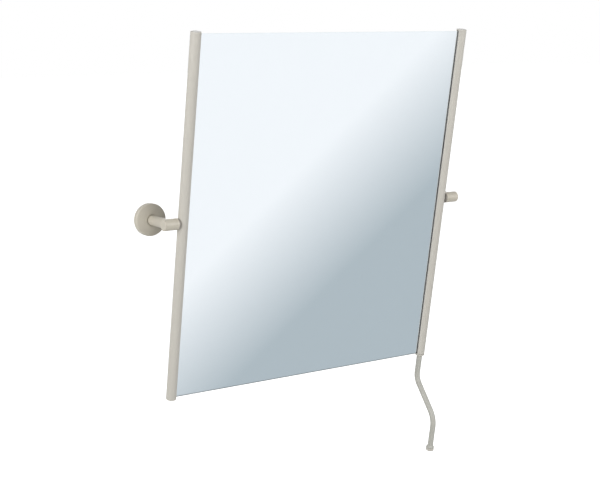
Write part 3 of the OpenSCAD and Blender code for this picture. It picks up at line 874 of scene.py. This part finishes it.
studio = {
    "floorDrop": 1.25,  # metres from the pivot down to the floor
    "floorColour": (0.86, 0.86, 0.85, 1),
    "floorGlow": 0.62,  # what the camera sees of the floor without the lamps
    "floorReach": 30,  # metres
    "shadowReach": (1.2, 2.2),  # metres round the model in which the floor shows shadow
    "ambient": 0.32,
    "paleSky": (0.97, 0.995, 1.045, 1),
    "lowSky": (0.462, 0.529, 0.582, 1),
    "lean": (0.5209, 0.6930, -0.4982),  # across the shade of the panel that the mirror shows
    "shade": (-0.0376, 0.0408),  # along the lean, where the shade starts and is whole
    "panelAim": (0.548, -0.719, -0.427),  # where the mirror looks from the camera's place
    "panelEdge": (0.80, 0.90),  # cosines from the aim, where the panel ends and is whole
    "dusk": (-0.2, 0.8, 0.12, 0.85),  # elsewhere: two sines below the horizon, and their shades
}


# World: white to the camera, a soft grey-blue panel to mirror and glass, plain white for light.
def makeWorld(sizes):
    world = bpy.data.worlds.new("studioWorld")
    world.use_nodes = True
    bpy.context.scene.world = world
    tree = world.node_tree
    tree.nodes.clear()
    way = addNode(tree, "ShaderNodeTexCoord").outputs["Generated"]

    # The way's share along a direction, brought from the first range to the second.
    def ramp(direction, first, second=(0.0, 1.0), kind="LINEAR"):
        share = addNode(tree, "ShaderNodeVectorMath", {0: way, 1: direction}, operation="DOT_PRODUCT")
        return addNode(tree, "ShaderNodeMapRange", {
            "Value": share.outputs["Value"], "From Min": first[0], "From Max": first[1],
            "To Min": second[0], "To Max": second[1]}, interpolation_type=kind).outputs[0]

    shade = ramp(sizes["lean"], sizes["shade"])
    panel = ramp(sizes["panelAim"], sizes["panelEdge"], kind="SMOOTHSTEP")
    below = ramp((0, 0, -1), sizes["dusk"][:2], sizes["dusk"][2:])
    # A mix takes its factor at 0, values at 2 and 3, and colours at 6 and 7.
    amount = addNode(tree, "ShaderNodeMix", {0: panel, 2: below, 3: shade}).outputs[0]
    sky = addNode(tree, "ShaderNodeMix", {
        0: amount, 6: sizes["paleSky"], 7: sizes["lowSky"]}, data_type="RGBA")
    shown = addNode(tree, "ShaderNodeBackground", {"Color": sky.outputs[2]}).outputs[0]
    light = addNode(tree, "ShaderNodeBackground", {"Color": (1, 1, 1, 1), "Strength": sizes["ambient"]})
    white = addNode(tree, "ShaderNodeBackground", {"Color": (1, 1, 1, 1)}).outputs[0]
    glossy = rayShare(tree, "Is Glossy Ray", "Is Transmission Ray")
    first = addNode(tree, "ShaderNodeMixShader", {0: glossy, 1: light.outputs[0], 2: shown}).outputs[0]
    camera = rayShare(tree, "Is Camera Ray")
    second = addNode(tree, "ShaderNodeMixShader", {0: camera, 1: first, 2: white}).outputs[0]
    addNode(tree, "ShaderNodeOutputWorld", {"Surface": second})


# Floor: pale and diffuse for light; the camera sees it glow to white, with the lamps' shadow near
# the model; mirror and glass look through it at the world.
def makeFloor(sizes):
    level = pivot[2] - sizes["floorDrop"]
    far = sizes["floorReach"]
    points = [(-far, -far, level), (far, -far, level), (far, far, level), (-far, far, level)]
    material = bpy.data.materials.new("paleFloor")
    material.use_nodes = True
    tree = material.node_tree
    tree.nodes.clear()
    place = addNode(tree, "ShaderNodeTexCoord").outputs["Object"]
    flat = addNode(tree, "ShaderNodeVectorMath", {0: place, 1: (1, 1, 0)}, operation="MULTIPLY").outputs[0]
    away = addNode(tree, "ShaderNodeVectorMath", {0: flat}, operation="LENGTH").outputs["Value"]
    reach = sizes["shadowReach"]
    fade = addNode(tree, "ShaderNodeMapRange", {
        "Value": away, "From Min": reach[0], "From Max": reach[1], "To Min": sizes["floorGlow"],
        "To Max": 1.0})
    matte = addNode(tree, "ShaderNodeBsdfDiffuse", {"Color": sizes["floorColour"]}).outputs[0]
    strength = maths(tree, "MULTIPLY", fade.outputs[0], rayShare(tree, "Is Camera Ray"))
    glow = addNode(tree, "ShaderNodeEmission", {"Color": (1, 1, 1, 1), "Strength": strength}).outputs[0]
    seen = addNode(tree, "ShaderNodeAddShader", {0: matte, 1: glow}).outputs[0]
    clear = addNode(tree, "ShaderNodeBsdfTransparent").outputs[0]
    through = rayShare(tree, "Is Glossy Ray", "Is Transmission Ray")
    both = addNode(tree, "ShaderNodeMixShader", {0: through, 1: seen, 2: clear}).outputs[0]
    addNode(tree, "ShaderNodeOutputMaterial", {"Surface": both})
    mesh = bpy.data.meshes.new("floor")
    mesh.from_pydata(points, [], [(0, 1, 2, 3)])
    mesh.materials.append(material)
    floor = bpy.data.objects.new("floor", mesh)
    bpy.context.scene.collection.objects.link(floor)


makeWorld(studio)
makeFloor(studio)

# Softboxes: azimuth and elevation as seen from the mirror, then distance, width, height, watts.
lamps = {
    "leftSoftbox": (-60, 14, 2.4, 1.2, 1.2, 11.3),
    "sideSoftbox": (-75, 12, 3.0, 1.4, 1.4, 28),
    "frontSoftbox": (30, 14, 2.4, 1.2, 1.2, 21),
    "backSoftbox": (146, 15, 3.0, 1.6, 1.6, 10),
}


# A lamp at the distance along its direction, facing the middle of the wall line.
def areaLight(name, azimuth, elevation, distance, width, height, power):
    data = bpy.data.lights.new(name, "AREA")
    data.shape = "RECTANGLE"
    data.size = width
    data.size_y = height
    data.energy = power
    lamp = bpy.data.objects.new(name, data)
    a, e = math.radians(azimuth), math.radians(elevation)
    away = Vector((math.sin(a) * math.cos(e), -math.cos(a) * math.cos(e), math.sin(e)))
    lamp.location = away * distance
    lamp.rotation_euler = (-away).to_track_quat("-Z", "Y").to_euler()
    bpy.context.scene.collection.objects.link(lamp)


# The lamps light everything but the mirror's glass and silver, which would show them as white boxes.
unlit = bpy.data.collections.new("mirrorWithoutLamps")
for name in ("mirrorPane", "silveredBacking"):
    unlit.objects.link(bpy.data.objects[name])
for entry in unlit.collection_objects:
    entry.light_linking.link_state = "EXCLUDE"
for name, values in lamps.items():
    areaLight(name, *values)
    bpy.data.objects[name].light_linking.receiver_collection = unlit
print("stage and lamps made")
